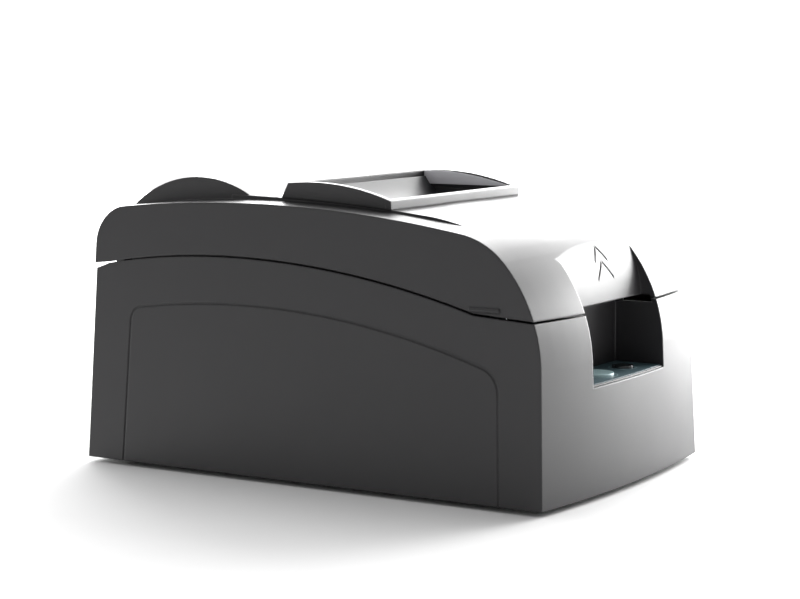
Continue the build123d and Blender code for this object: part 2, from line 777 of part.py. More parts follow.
# ---------------------------------------------------------------- control panel
feed_button_place = (-8.0, front_mid_y + 17.2)
feed_button_radius = 9.0
mode_button_place = (19.0, front_mid_y + 16.0)
mode_button_radius = 5.0
button_gap = 0.3
button_flange = 0.7
button_flange_thickness = 1.0
button_proud = 1.2
button_travel = 1.0
lens_places = [(x, front_mid_y + 17.0) for x in (-32.0, -26.5, -21.0)]
lens_radius = 1.5
panel_gap = 0.25
rim_gap = 0.1
panel_board_z = panel_z - 9.2
tact_height = 2.6


def panel_zone(sunk):
    """Plan of the panel: between the pocket's walls, following the bowed front."""
    half = window_half - panel_gap
    return housing(sunk) & block(-half, half, -far, pocket_back_y - panel_gap, plate_bottom, membrane_top)


def button_holes(bottom, top):
    """Cutters for the two buttons and the lenses."""
    holes = []
    for place, radius in ((feed_button_place, feed_button_radius), (mode_button_place, mode_button_radius)):
        holes.append(rod_z(bottom, top, place[0], place[1], radius + button_gap))
    for x, y in lens_places:
        holes.append(rod_z(bottom, top, x, y, lens_radius))
    return holes


def panel_plate():
    """Plate that carries the buttons, resting on the pocket's ledge, with a lip over the window's rim."""
    plate = panel_zone(wall + panel_gap) & block(-far, far, -far, far, plate_bottom, plate_top)
    plate += panel_zone(front_recess) & block(-far, far, -far, far, window_rim_z + rim_gap, plate_top)
    for hole in button_holes(plate_bottom - 1, plate_top + 1):
        plate -= hole
    return plate


def panel_membrane():
    """Thin coloured overlay on the plate."""
    sheet = panel_zone(front_recess + 1.0) & block(-far, far, -far, far, plate_top, membrane_top)
    for hole in button_holes(plate_top - 1, membrane_top + 1):
        sheet -= hole
    return sheet


def button(place, radius):
    """Round key with a retaining flange under the plate."""
    flange_top = plate_bottom - 0.3
    flange_bottom = flange_top - button_flange_thickness
    key = rod_z(flange_bottom, membrane_top + button_proud, place[0], place[1], radius)
    rim = key.edges().filter_by(GeomType.CIRCLE).sort_by(Axis.Z)[-1]
    key = fillet(rim, 0.5)
    flange = rod_z(flange_bottom, flange_top, place[0], place[1], radius + button_flange)
    stem_bottom = panel_board_z + board_thickness + tact_height + button_travel + 0.3
    stem = rod_z(stem_bottom, flange_bottom, place[0], place[1], 1.5)
    return key + flange + stem


def feed_button():
    """Large paper feed key."""
    return button(feed_button_place, feed_button_radius)


def mode_button():
    """Small second key."""
    return button(mode_button_place, mode_button_radius)


def status_lenses():
    """Three light windows in the panel."""
    return [rod_z(plate_bottom - 1.5, membrane_top + 0.1, x, y, lens_radius) for x, y in lens_places]


def panel_board():
    """Circuit board under the panel with the two key switches and three lamps."""
    top = panel_board_z + board_thickness
    board = block(-window_half - 1, window_half + 1, front_mid_y + 8, front_mid_y + 28, panel_board_z, top)
    for place in (feed_button_place, mode_button_place):
        x, y = place
        board += block(x - 3, x + 3, y - 3, y + 3, top, top + tact_height - 0.8)
        board += rod_z(top, top + tact_height, x, y, 1.6)
    for x, y in lens_places:
        board += rod_z(top, top + 2.5, x, y, 1.4)
    return board


# ---------------------------------------------------------------- roll bin
bin_y = dome_y - 8.5
bin_z = 64.0
bin_radius = 43.0
bin_wall = 2.0
bin_half = 40.0
bin_top_z = 84.0
bin_front_top_z = 68.0
bin_leg_width = 4.0


def roll_bin():
    """Open trough that the paper roll lies in, on two legs."""
    outer_radius = bin_radius + bin_wall
    outer_half = bin_half + bin_wall
    outer = rod_x(-outer_half, outer_half, bin_y, bin_z, outer_radius)
    outer &= block(-far, far, -far, far, 0, bin_z)
    outer += block(-outer_half, outer_half, bin_y - outer_radius, bin_y + outer_radius, bin_z, bin_top_z)
    inner = rod_x(-bin_half, bin_half, bin_y, bin_z, bin_radius)
    inner += block(-bin_half, bin_half, bin_y - bin_radius, bin_y + bin_radius, bin_z, bin_top_z + 1)
    trough = outer - inner
    trough -= block(-bin_half, bin_half, bin_y - outer_radius - 1, bin_y, bin_front_top_z, bin_top_z + 1)
    for side in (-1, 1):
        near = side * outer_half
        out = side * (outer_half + bin_leg_width)
        trough += block(
            min(near, out), max(near, out), bin_y - 8, bin_y + 8, case_bottom + base_thickness, bin_z)
    return trough


def roll_end_sensor():
    """Small sensor on the side of the bin that sees when the roll is nearly used up."""
    x = -(bin_half + bin_wall)
    return block(x - 6, x, bin_y + 12, bin_y + 24, 34, 44)


# ---------------------------------------------------------------- print mechanism
plate_thickness = 1.2
plate_inner_x = 58.0
cassette_bottom_z = 97.0
front_shaft_place = (-60.0, 66.0)
rear_shaft_place = (-46.0, 66.0)
front_shaft_radius = 2.5
rear_shaft_radius = 3.0
feed_axis = (-21.0, 72.0)
feed_shaft_radius = 2.5
feed_roller_radius = 6.0
roller_spans = ((-34.0, -20.0), (20.0, 34.0))
pinch_radius = 5.0
pinch_shaft_radius = 1.5
paper_gap = 0.4
gear_module = 0.8
feed_gear_teeth = 30
pinion_teeth = 12
gear_width = 5.0
gear_x = 60.5
gear_backlash = 0.3
motor_direction = -30.0     # bearing from the feed shaft to the feed motor
feed_motor_radius = 11.5
feed_motor_length = 21.0
motor_shaft_radius = 1.0
platen_front_y = -27.3
platen_depth = 6.0
platen_z = (84.0, 102.0)
platen_half = 48.0

feed_centre_distance = gear_module * (feed_gear_teeth + pinion_teeth) / 2
feed_motor_axis = point_on(feed_axis, feed_centre_distance, motor_direction)
pinch_axis = (feed_axis[0] - feed_roller_radius - paper_gap - pinch_radius, feed_axis[1])


def mechanism_tray():
    """Folded sheet tray that the side plates, the carriage motor and the idler stand on."""
    return block(-tray_half, tray_half, tray_front_y, tray_rear_y, tray_z, tray_z + tray_thickness)


def side_plate(side):
    """Upright sheet side plate with the shaft holes."""
    low = tray_z + tray_thickness
    outline = [
        (tray_front_y, low), (tray_rear_y, low), (tray_rear_y, 84), (-12, 104), (-33, 104),
        (-33, cassette_bottom_z), (tray_front_y + 4, cassette_bottom_z), (tray_front_y, cassette_bottom_z - 8)]
    inner = side * plate_inner_x
    outer = side * (plate_inner_x + plate_thickness)
    low_x = min(inner, outer)
    high_x = max(inner, outer)
    plate = side_polygon(outline, low_x, high_x)
    for place, radius in (
            (front_shaft_place, front_shaft_radius),
            (rear_shaft_place, rear_shaft_radius),
            (feed_axis, feed_shaft_radius + pin_clearance),
            (pinch_axis, pinch_shaft_radius + pin_clearance)):
        plate -= rod_x(low_x - 1, high_x + 1, place[0], place[1], radius)
    if side > 0:
        plate -= rod_x(low_x - 1, high_x + 1, feed_motor_axis[0], feed_motor_axis[1], motor_shaft_radius + 1.0)
    window = block(low_x - 1, high_x + 1, tray_front_y + 8, -66, low + 8, cassette_bottom_z - 12)
    return plate - window


def platen():
    """Flat bar behind the paper that the print wires strike."""
    bar = block(
        -platen_half, platen_half, platen_front_y, platen_front_y + platen_depth, platen_z[0], platen_z[1])
    return bar + block(
        -plate_inner_x, plate_inner_x, platen_front_y + 1.5, platen_front_y + platen_depth, platen_z[0], 90)


def carriage_shafts():
    """Two ground rods that the carriage runs on."""
    end = plate_inner_x + plate_thickness
    return [
        rod_x(-end, end, front_shaft_place[0], front_shaft_place[1], front_shaft_radius),
        rod_x(-end, end, rear_shaft_place[0], rear_shaft_place[1], rear_shaft_radius),
    ]


# Carriage, its belt and the belt's pulleys
carriage_half = 14.0
carriage_front_y = -66.0
carriage_rear_y = -40.0
carriage_z = (58.0, 80.0)
slide_clearance = 0.05
pulley_x = 46.0
pulley_y = -79.0
pulley_radius = 6.4
pulley_flange_radius = pulley_radius + 2.2
belt_thickness = 1.2
belt_z = (56.0, 61.0)
belt_gap = 0.45
stud_radius = 1.5
carriage_motor_radius = 12.0
carriage_motor_height = 20.0


def carriage():
    """Plastic carriage with the rod bores and the clamp that holds the belt."""
    body = block(-carriage_half, carriage_half, carriage_front_y, carriage_rear_y, carriage_z[0], carriage_z[1])
    body -= block(-carriage_half - 1, carriage_half + 1, -57, -50, carriage_z[0] - 1, 70)
    for place, radius in ((front_shaft_place, front_shaft_radius), (rear_shaft_place, rear_shaft_radius)):
        body -= rod_x(-20, 20, place[0], place[1], radius + slide_clearance)
    run_y = pulley_y + pulley_radius
    clamp = block(-5, 5, run_y - 3, carriage_front_y, belt_z[0] - 1.5, belt_z[1] + 3)
    channel = block(
        -6, 6, run_y - belt_gap, run_y + belt_thickness + belt_gap, belt_z[0] - 2, belt_z[1] + belt_gap)
    return body + clamp - channel


def print_head():
    """Wire print head: finned block on the carriage with a nose that reaches to the ribbon."""
    low = carriage_z[1]
    head = block(-13, 13, -62, -42, low, 95)
    for i in range(5):
        y = -59.5 + 3.6 * i
        head -= block(-14, 14, y, y + 1.6, low + 4, 96)
    nose = block(-6.5, 6.5, -43, -30.7, low + 4, 96.4)
    nose -= block(-7, -3.2, -36, -30, low + 3, 97)
    nose -= block(3.2, 7, -36, -30, low + 3, 97)
    return head + nose


def drive_belt():
    """Closed belt round the two pulleys."""
    def loop(radius):
        ends = Pos(-pulley_x, pulley_y, 0) * Circle(radius) + Pos(pulley_x, pulley_y, 0) * Circle(radius)
        return ends + Pos(0, pulley_y, 0) * Rectangle(2 * pulley_x, 2 * radius)
    ring = loop(pulley_radius + belt_thickness) - loop(pulley_radius + 0.02)
    return Pos(0, 0, belt_z[0]) * extrude(ring, amount=belt_z[1] - belt_z[0])


def pulley_body(x):
    """Flanged pulley with a grooved rim that the belt wraps."""
    low = belt_z[0] - 0.3
    high = belt_z[1] + 0.3
    body = rod_z(low, high, x, pulley_y, pulley_radius - 0.3)
    body += rod_z(low - 1, low, x, pulley_y, pulley_flange_radius)
    body += rod_z(high, high + 1, x, pulley_y, pulley_flange_radius)
    spokes = 16
    for i in range(spokes):
        place = point_on((x, pulley_y), pulley_radius - 0.2, 360 * i / spokes)
        body -= rod_z(low, high, place[0], place[1], 0.5)
    return body


def drive_pulley():
    """Pulley on the carriage motor's shaft, with the shaft."""
    shaft = rod_z(tray_z + tray_thickness + 6, belt_z[1] + 3, -pulley_x, pulley_y, stud_radius)
    return pulley_body(-pulley_x) + shaft


def idler_pulley():
    """Pulley that turns on the idler stud."""
    return pulley_body(pulley_x) - rod_z(0, 100, pulley_x, pulley_y, stud_radius + pin_clearance)


def idler_stud():
    """Stud on the tray that carries the idler pulley, with a shoulder under it and a clip above it."""
    low = tray_z + tray_thickness
    under = belt_z[0] - 1.3 - 0.15
    over = belt_z[1] + 1.3 + 0.15
    stud = rod_z(low, over + 1.5, pulley_x, pulley_y, stud_radius)
    stud += rod_z(low, under, pulley_x, pulley_y, 3.5)
    return stud + rod_z(over, over + 0.8, pulley_x, pulley_y, 3.0)


def carriage_motor():
    """Stepper motor on the tray under the drive pulley, with its shaft bore."""
    low = tray_z + tray_thickness
    high = low + carriage_motor_height
    body = rod_z(low, high, -pulley_x, pulley_y, carriage_motor_radius)
    body += rod_z(high, high + 1.5, -pulley_x, pulley_y, 4.0)
    body -= rod_z(low + 5, high + 2, -pulley_x, pulley_y, stud_radius + pin_clearance)
    groove = rod_z(low + 3, low + 4, -pulley_x, pulley_y, carriage_motor_radius)
    return body - (groove - rod_z(low + 3, low + 4, -pulley_x, pulley_y, carriage_motor_radius - 1.0))


# Paper feed
def gear(teeth, x0, x1, place, turn):
    """Spur gear about X with straight-flanked teeth, thinned for backlash."""
    pitch_radius = gear_module * teeth / 2
    tip = pitch_radius + 0.85 * gear_module
    root = pitch_radius - 1.1 * gear_module
    half_pitch = gear_module * pi / 4 - gear_backlash / 2
    body = Circle(root)
    for i in range(teeth):
        angle = 360 * i / teeth + turn
        tooth = Polyline(
            (root - 0.4, -half_pitch - 0.35), (tip, -half_pitch + 0.42), (tip, half_pitch - 0.42),
            (root - 0.4, half_pitch + 0.35), close=True)
        body += Rot(0, 0, angle) * make_face(tooth)
    flat = Plane.YZ * body
    return Pos(x0, place[0], place[1]) * extrude(flat, amount=x1 - x0)


def feed_shaft():
    """Steel shaft of the feed rollers."""
    return rod_x(-plate_inner_x - 2, gear_x + gear_width + 1, feed_axis[0], feed_axis[1], feed_shaft_radius)


def feed_rollers():
    """Two rubber rollers on the feed shaft."""
    rollers = []
    for x0, x1 in roller_spans:
        roller = rod_x(x0, x1, feed_axis[0], feed_axis[1], feed_roller_radius)
        rollers.append(roller - rod_x(x0 - 1, x1 + 1, feed_axis[0], feed_axis[1], feed_shaft_radius))
    return rollers


def feed_gear():
    """Large gear on the feed shaft."""
    wheel = gear(feed_gear_teeth, gear_x, gear_x + gear_width, feed_axis, 0.0)
    return wheel - rod_x(gear_x - 1, gear_x + gear_width + 1, feed_axis[0], feed_axis[1], feed_shaft_radius)


def feed_pinion():
    """Pinion on the feed motor's shaft, with the shaft."""
    facing = motor_direction + 180
    mesh_turn = facing + 180 / pinion_teeth + (motor_direction * feed_gear_teeth / pinion_teeth)
    wheel = gear(pinion_teeth, gear_x - 0.5, gear_x + gear_width + 0.5, feed_motor_axis, mesh_turn)
    shaft_start = plate_inner_x - feed_motor_length + 6
    return wheel + rod_x(shaft_start, gear_x, feed_motor_axis[0], feed_motor_axis[1], motor_shaft_radius)


def feed_motor():
    """Stepper motor on the inside of the right side plate."""
    start = plate_inner_x - feed_motor_length
    y, z = feed_motor_axis
    body = rod_x(start, plate_inner_x, y, z, feed_motor_radius)
    return body - rod_x(start + 4, plate_inner_x + 1, y, z, motor_shaft_radius + pin_clearance)


def pinch_shaft():
    """Thin shaft of the pinch rollers."""
    end = plate_inner_x + plate_thickness + 0.8
    return rod_x(-end, end, pinch_axis[0], pinch_axis[1], pinch_shaft_radius)


def pinch_rollers():
    """Two rollers that press the paper on the feed rollers."""
    rollers = []
    for x0, x1 in roller_spans:
        roller = rod_x(x0, x1, pinch_axis[0], pinch_axis[1], pinch_radius)
        rollers.append(roller - rod_x(x0 - 1, x1 + 1, pinch_axis[0], pinch_axis[1], pinch_shaft_radius))
    return rollers


# ---------------------------------------------------------------- ribbon cassette
cassette_half = 56.0
cassette_front_y = -86.0
cassette_rear_y = -40.0
cassette_top_z = 108.0
arm_inner_x = 47.0
arm_rear_y = -28.3
knob_place = (36.0, -64.0)
knob_radius = 8.0
knob_height = 5.0
ribbon_y = -30.0
ribbon_thickness = 0.2
ribbon_z = (91.0, 99.0)


def ribbon_cassette():
    """Flat cassette on the side plates, with two arms that carry the ribbon past the print head."""
    body = block(
        -cassette_half, cassette_half, cassette_front_y, cassette_rear_y, cassette_bottom_z, cassette_top_z)
    corners = body.edges().filter_by(Axis.Z).sort_by(Axis.Y)[:2]
    body = fillet(corners, 5)
    wing = block(
        -plate_inner_x - 3, plate_inner_x + 3, cassette_front_y + 8, cassette_front_y + 24, cassette_bottom_z,
        cassette_bottom_z + 1.5)
    body += wing
    for side in (-1, 1):
        inner = side * arm_inner_x
        outer = side * cassette_half
        body += block(
            min(inner, outer), max(inner, outer), cassette_rear_y, arm_rear_y, ribbon_z[0] - 1, cassette_top_z)
    x, y = knob_place
    return body - rod_z(cassette_top_z - 6, cassette_top_z + 1, x, y, 2.0 + pin_clearance)


def ribbon():
    """Inked ribbon between the cassette's arms."""
    return block(
        -arm_inner_x, arm_inner_x, ribbon_y, ribbon_y + ribbon_thickness, ribbon_z[0], ribbon_z[1])


def ribbon_knob():
    """Knob that takes up the ribbon's slack, with its stem in the cassette."""
    x, y = knob_place
    low = cassette_top_z + 0.35
    knob = rod_z(low, low + knob_height, x, y, knob_radius)
    ribs = 12
    for i in range(ribs):
        place = point_on((x, y), knob_radius + 0.6, 360 * i / ribs)
        knob -= rod_z(low - 1, low + knob_height + 1, place[0], place[1], 1.4)
    return knob + rod_z(cassette_top_z - 5.5, low, x, y, 2.0)


def cover_sensor():
    """Slotted sensor on the right side plate that sees whether the cover is shut."""
    inner = plate_inner_x + plate_thickness
    body = block(inner, inner + 6, -58, -46, 80, 92)
    return body - block(inner + 2, inner + 4, -59, -45, 84, 93)


def hinge_pins():
    """Two steel pins, one through each hinge ear."""
    reach = ear_width / 2 + ear_side_gap + hinge_lug_width
    return [rod_x(side * hinge_x - reach, side * hinge_x + reach, hinge_y, hinge_z, pin_radius) for side in (-1, 1)]


# ---------------------------------------------------------------- write every node
NODES = {
    "lower_case": lower_case,
    "base_plate": base_plate,
    "feet": feet,
    "base_screws": base_screws,
    "main_board": main_board,
    "board_chips": board_chips,
    "board_screws": board_screws,
    "power_socket": power_socket,
    "data_socket": data_socket,
    "drawer_socket": drawer_socket,
    "switch_frame": switch_frame,
    "switch_rocker": switch_rocker,
    "panel_plate": panel_plate,
    "panel_membrane": panel_membrane,
    "feed_button": feed_button,
    "mode_button": mode_button,
    "status_lenses": status_lenses,
    "panel_board": panel_board,
    "roll_bin": roll_bin,
    "roll_end_sensor": roll_end_sensor,
    "mechanism_tray": mechanism_tray,
    "side_plate_left": lambda: side_plate(-1),
    "side_plate_right": lambda: side_plate(1),
    "platen": platen,
    "carriage_shafts": carriage_shafts,
    "carriage": carriage,
    "print_head": print_head,
    "drive_belt": drive_belt,
    "drive_pulley": drive_pulley,
    "idler_pulley": idler_pulley,
    "idler_stud": idler_stud,
    "carriage_motor": carriage_motor,
    "feed_shaft": feed_shaft,
    "feed_rollers": feed_rollers,
    "feed_gear": feed_gear,
    "feed_pinion": feed_pinion,
    "feed_motor": feed_motor,
    "pinch_shaft": pinch_shaft,
    "pinch_rollers": pinch_rollers,
    "ribbon_cassette": ribbon_cassette,
    "ribbon": ribbon,
    "ribbon_knob": ribbon_knob,
    "cover_sensor": cover_sensor,
    "hinge_pins": hinge_pins,
    "top_cover": top_cover,
    "paper_bezel": paper_bezel,
    "tear_bar": tear_bar,
    "paper_guide": paper_guide,
}


def write_nodes():
    """Export each node as one STEP file."""
    os.makedirs("parts", exist_ok=True)
    for name, make in NODES.items():
        made = make()
        if isinstance(made, list):
            made = Compound(children=made)
        export_step(made, f"parts/{name}.step")


write_nodes()
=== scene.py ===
# %% [markdown]
# # A receipt printer, in cells
# The printer's form, its joints and its sizes come from a CAD model. Blender adds what the eye
# needs: the feel of textured plastic, plated steel, rubber and printed film, and the small shapes
# that a CAD model leaves plain. This first cell loads the frame. Every later piece takes its place
# from it, so nothing has to be fitted by hand.

# %% Load the frame
import bpy
import bmesh
import json
import math
from mathutils import Matrix, Vector


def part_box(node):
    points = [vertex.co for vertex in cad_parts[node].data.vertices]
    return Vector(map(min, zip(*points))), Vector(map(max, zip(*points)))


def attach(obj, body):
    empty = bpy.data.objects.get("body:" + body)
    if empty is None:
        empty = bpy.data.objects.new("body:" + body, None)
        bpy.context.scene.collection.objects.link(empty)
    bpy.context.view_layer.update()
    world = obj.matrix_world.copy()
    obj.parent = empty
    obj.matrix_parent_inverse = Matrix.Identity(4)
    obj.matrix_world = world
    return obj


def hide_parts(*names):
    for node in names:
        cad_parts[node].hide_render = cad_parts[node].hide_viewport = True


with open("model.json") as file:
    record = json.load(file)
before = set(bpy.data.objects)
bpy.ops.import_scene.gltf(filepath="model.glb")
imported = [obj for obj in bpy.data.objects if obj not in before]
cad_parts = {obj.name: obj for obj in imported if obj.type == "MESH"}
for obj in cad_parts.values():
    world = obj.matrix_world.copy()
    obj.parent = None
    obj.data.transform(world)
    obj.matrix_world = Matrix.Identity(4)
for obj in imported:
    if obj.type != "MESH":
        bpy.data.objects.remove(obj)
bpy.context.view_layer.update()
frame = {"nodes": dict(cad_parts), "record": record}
NODES = frame["nodes"]

# %% [markdown]
# ## Units and colours
# The frame is in metres, and a maker thinks in millimetres, so one constant turns one into the
# other. Colours are written as the hex values that a screen shows. The shader wants linear light,
# so one function converts them.

# %% Units and colours
MM = 0.001


def linear(hex_text):
    """Turns a screen colour such as 262527 into linear light."""
    channels = []
    for i in (0, 2, 4):
        value = int(hex_text[i:i + 2], 16) / 255
        channels.append(value / 12.92 if value <= 0.04045 else ((value + 0.055) / 1.055) ** 2.4)
    return (channels[0], channels[1], channels[2], 1.0)


print("charcoal in linear light", [round(c, 4) for c in linear("262527")])

# %% [markdown]
# ## Camera
# The camera looks down a little from the printer's left front corner. A long lens from about a
# metre away keeps the upright edges nearly parallel. A camera looks along its own -Z, so three
# directions at right angles make its matrix.

# %% Camera
CAMERA_PLACE = Vector((-0.8659, -0.5350, 0.1977))
CAMERA_TURN = math.radians(-58.36)
CAMERA_DROP = math.radians(6.68)
CAMERA_ROLL = math.radians(-0.155)
CAMERA_LENS = 95.6

forward = Vector((-math.sin(CAMERA_TURN), math.cos(CAMERA_TURN), 0)) * math.cos(CAMERA_DROP)
forward.z = -math.sin(CAMERA_DROP)
sideways = forward.cross(Vector((0, 0, 1))).normalized()
upward = sideways.cross(forward)
turn = Matrix((sideways, upward, -forward)).transposed() @ Matrix.Rotation(CAMERA_ROLL, 3, "Z")
camera_data = bpy.data.cameras.new("camera")
camera_data.lens = CAMERA_LENS
camera_data.sensor_width = 36
camera_data.clip_start = 0.01
camera = bpy.data.objects.new("camera", camera_data)
bpy.context.collection.objects.link(camera)
camera.matrix_world = Matrix.Translation(CAMERA_PLACE) @ turn.to_4x4()
bpy.context.scene.camera = camera
print("camera", [round(c, 3) for c in camera.location], "lens", CAMERA_LENS)

# %% [markdown]
# ## Nodes
# The world and every material are small graphs of nodes. One helper adds a node, sets it and links
# it, so that a graph reads as a list.

# %% The node helper
def add(tree, kind, links=(), **settings):
    """Adds a node. Settings are attributes or sockets, and a link is a socket name and a source."""
    node = tree.nodes.new(kind)
    for name, value in settings.items():
        if hasattr(node, name):
            setattr(node, name, value)
        else:
            node.inputs[name.replace("_", " ")].default_value = value
    for name, source in links:
        tree.links.new(source, node.inputs[name])
    return node


print("helper", add.__name__)

# %% [markdown]
# ## Light
# Dark satin plastic shows the light that it mirrors more than its own colour. So the studio round
# it is not even: the world is a pale grey at the left and behind the camera, and glows at the right
# and behind the printer. The side face mirrors the grey part and stays charcoal, while the top,
# seen at a grazing angle, mirrors the glow.

# %% World
LEFT_GLOW = 0.45
RIGHT_GLOW = 2.6
GLOW_DIRECTION = (0.85, 0.52, 0.05)
GLOW_STARTS = -0.1
GLOW_FULL = 0.75

world = bpy.data.worlds.new("studio")
world.use_nodes = True
sky_tree = world.node_tree
background = sky_tree.nodes["Background"]
background.inputs["Color"].default_value = (1, 1, 1, 1)
sky = add(sky_tree, "ShaderNodeTexCoord").outputs["Generated"]
facing = add(sky_tree, "ShaderNodeVectorMath", [(0, sky)], operation="DOT_PRODUCT")
facing.inputs[1].default_value = GLOW_DIRECTION
glow = add(
    sky_tree, "ShaderNodeMapRange", [("Value", facing.outputs["Value"])],
    interpolation_type="SMOOTHSTEP", From_Min=GLOW_STARTS, From_Max=GLOW_FULL,
    To_Min=LEFT_GLOW, To_Max=RIGHT_GLOW)
sky_tree.links.new(glow.outputs["Result"], background.inputs["Strength"])
bpy.context.scene.world = world
bpy.context.scene.view_settings.view_transform = "Standard"
print("world glows from", LEFT_GLOW, "to", RIGHT_GLOW)

# %% [markdown]
# ### Soft lights
# Four soft panels finish the set. One stands behind, and gives the top its burnt-out white. One
# hangs at the right and lights the curve of the cover's front. One stands low at the right, and one
# lights the table there, because a face that leans back a little mirrors the table. Their
# reflections slide along the bowed front, brightest at the far end. All are hidden from the camera,
# so only their effect shows.

# %% Soft lights
def soft_light(name, place, target, size, power):
    """Adds one rectangular soft light that faces a point."""
    data = bpy.data.lights.new(name, "AREA")
    data.shape = "RECTANGLE"
    data.size = size[0]
    data.size_y = size[1]
    data.energy = power
    light = bpy.data.objects.new(name, data)
    bpy.context.collection.objects.link(light)
    aim = (Vector(target) - Vector(place)).normalized()
    facing_aim = aim.to_track_quat("-Z", "Y").to_matrix().to_4x4()
    light.matrix_world = Matrix.Translation(place) @ facing_aim
    light.visible_camera = False


soft_light("shoulder_light", (1.0, -0.1, 0.85), (0, -0.1, 0.1), (0.9, 0.7), 7)
soft_light("back_light", (1.57, 0.97, 0.65), (0, 0, 0.12), (2.0, 1.3), 60)
soft_light("right_light", (1.55, -0.45, 0.21), (0, -0.1, 0.06), (0.9, 0.42), 19)
soft_light("floor_light", (0.9, -0.42, 0.35), (0.9, -0.42, 0.0), (0.6, 0.6), 19)

# %% [markdown]
# ## Floor
# A wide pale sheet under the printer. It takes only a soft shadow, because the light comes from all
# sides.

# %% Floor
FLOOR_WIDTH = 12


def deselect():
    """Leaves nothing selected, so that an operator touches only what is picked next."""
    bpy.ops.object.select_all(action="DESELECT")


deselect()
bpy.ops.mesh.primitive_plane_add(size=FLOOR_WIDTH, location=(0, 0, 0))
floor = bpy.context.object
floor.name = "floor"
print("floor", floor.name)

# %% [markdown]
# ## Materials
# The same few steps come back in every material: read the place on the object, make a pattern whose
# scale is worked out from a size in millimetres, and let it move colour, roughness or bump. One
# helper begins a material, and another turns a size into a scale.

# %% Beginning a material
def start(name):
    """Begins a material and returns it with its tree, its output and object coordinates."""
    material = bpy.data.materials.new(name)
    material.use_nodes = True
    tree = material.node_tree
    tree.nodes.clear()
    output = add(tree, "ShaderNodeOutputMaterial")
    place = add(tree, "ShaderNodeTexCoord").outputs["Object"]
    return material, tree, output, place


def per_metre(size_mm):
    """Scale of a pattern whose cells are this many millimetres wide."""
    return 1 / (size_mm * MM)


print("a 0.6 mm grain needs a scale of", per_metre(0.6))

# %% [markdown]
# ### Textured ABS
# Case and cover are moulded ABS from a spark-eroded tool, which leaves a fine matt grain. The grain
# spreads highlights, so the roughness is middling. A cloud a few centimetres wide varies the gloss,
# as flow in the mould does. The real grain is about 0.15 mm and is drawn at 0.45 mm, so that it
# shows. A Bevel node rounds the shading of the sharp edges by a millimetre, which draws the fine
# light line that every moulded edge has. The parts inside are the same ABS from a smoother tool, and
# the small black parts are nylon filled with glass fibre, which has a duller skin.

# %% Textured ABS
CLOUD_MM = 45


def moulded(name, light_hex, dark_hex, roughness, grain_mm, grain_height, edge_mm, ior=1.53):
    """Moulded plastic or rubber: cloudy tone, cloudy gloss, fine grain and softly rounded edges."""
    material, tree, output, place = start(name)
    cloud = add(
        tree, "ShaderNodeTexNoise", [("Vector", place)], Scale=per_metre(CLOUD_MM), Detail=3.0)
    tone = add(
        tree, "ShaderNodeMixRGB", [("Fac", cloud.outputs["Fac"])],
        Color1=linear(dark_hex), Color2=linear(light_hex))
    gloss = add(
        tree, "ShaderNodeMapRange", [("Value", cloud.outputs["Fac"])],
        From_Min=0.3, From_Max=0.7, To_Min=roughness - 0.03, To_Max=roughness + 0.03)
    grain = add(
        tree, "ShaderNodeTexNoise", [("Vector", place)],
        Scale=per_metre(grain_mm), Detail=3.0, Roughness=0.6)
    edge = add(tree, "ShaderNodeBevel", samples=4, Radius=edge_mm * MM)
    bump = add(
        tree, "ShaderNodeBump",
        [("Height", grain.outputs["Fac"]), ("Normal", edge.outputs["Normal"])],
        Strength=grain_height, Distance=0.05 * MM)
    shader = add(
        tree, "ShaderNodeBsdfPrincipled",
        [("Base Color", tone.outputs["Color"]), ("Roughness", gloss.outputs["Result"]),
         ("Normal", bump.outputs["Normal"])],
        IOR=ior)
    tree.links.new(shader.outputs["BSDF"], output.inputs["Surface"])
    return material


CASE_ABS = moulded("textured_charcoal_abs", "262527", "212022", 0.40, 0.45, 0.35, 1.0)
INNER_ABS = moulded("plain_charcoal_abs", "242426", "1f1f21", 0.38, 0.6, 0.2, 0.4)
BLACK_NYLON = moulded("black_glass_filled_nylon", "17171a", "101012", 0.5, 0.3, 0.5, 0.3)
print("materials", CASE_ABS.name, INNER_ABS.name, BLACK_NYLON.name)

# %% [markdown]
# ### Rubber and acetal
# The feet are soft grey rubber, and the feed rollers are black rubber ground round on a wheel,
# which leaves a matt skin. Gears and pulleys are acetal, a waxy white plastic with a soft
# gloss, and the carriage's belt is black neoprene. All four have moulded or ground skins too, so
# they come from the same recipe with other numbers.

# %% Rubber and acetal
FOOT_RUBBER = moulded("grey_foot_rubber", "b9b8b4", "a9a8a4", 0.6, 0.5, 0.3, 0.5, 1.52)
ROLLER_RUBBER = moulded("ground_roller_rubber", "1d1d1d", "151515", 0.8, 0.2, 0.9, 0.2, 1.52)
ACETAL = moulded("moulded_white_acetal", "e3dfd2", "d8d4c6", 0.35, 0.8, 0.1, 0.15, 1.48)
BELT_RUBBER = moulded("black_belt_neoprene", "1a1a1b", "111112", 0.7, 0.25, 0.6, 0.1, 1.52)
print("materials", FOOT_RUBBER.name, ROLLER_RUBBER.name, ACETAL.name, BELT_RUBBER.name)

# %% [markdown]
# ### Key plastics
# The large key is a light teal moulding with a smooth face. The small one is glossy black. Fingers
# polish a key, so the gloss is higher than the case's and the grain almost gone.

# %% Key plastics
TEAL_KEY = moulded("light_teal_key_abs", "a9c4c6", "9db9bc", 0.3, 1.2, 0.08, 0.3)
BLACK_KEY = moulded("glossy_black_key_abs", "23292b", "1b2022", 0.16, 1.5, 0.04, 0.3)
print("materials", TEAL_KEY.name, BLACK_KEY.name)

# %% [markdown]
# ### Printed film
# The panel's overlay is a polyester film printed from behind in teal. Its face is velvet: a fine
# emboss that breaks up reflections. Pale rings are printed round the places of the keys, as a film
# printer would line them up. Each ring is the band where the distance from a key's middle lies
# between two sizes.

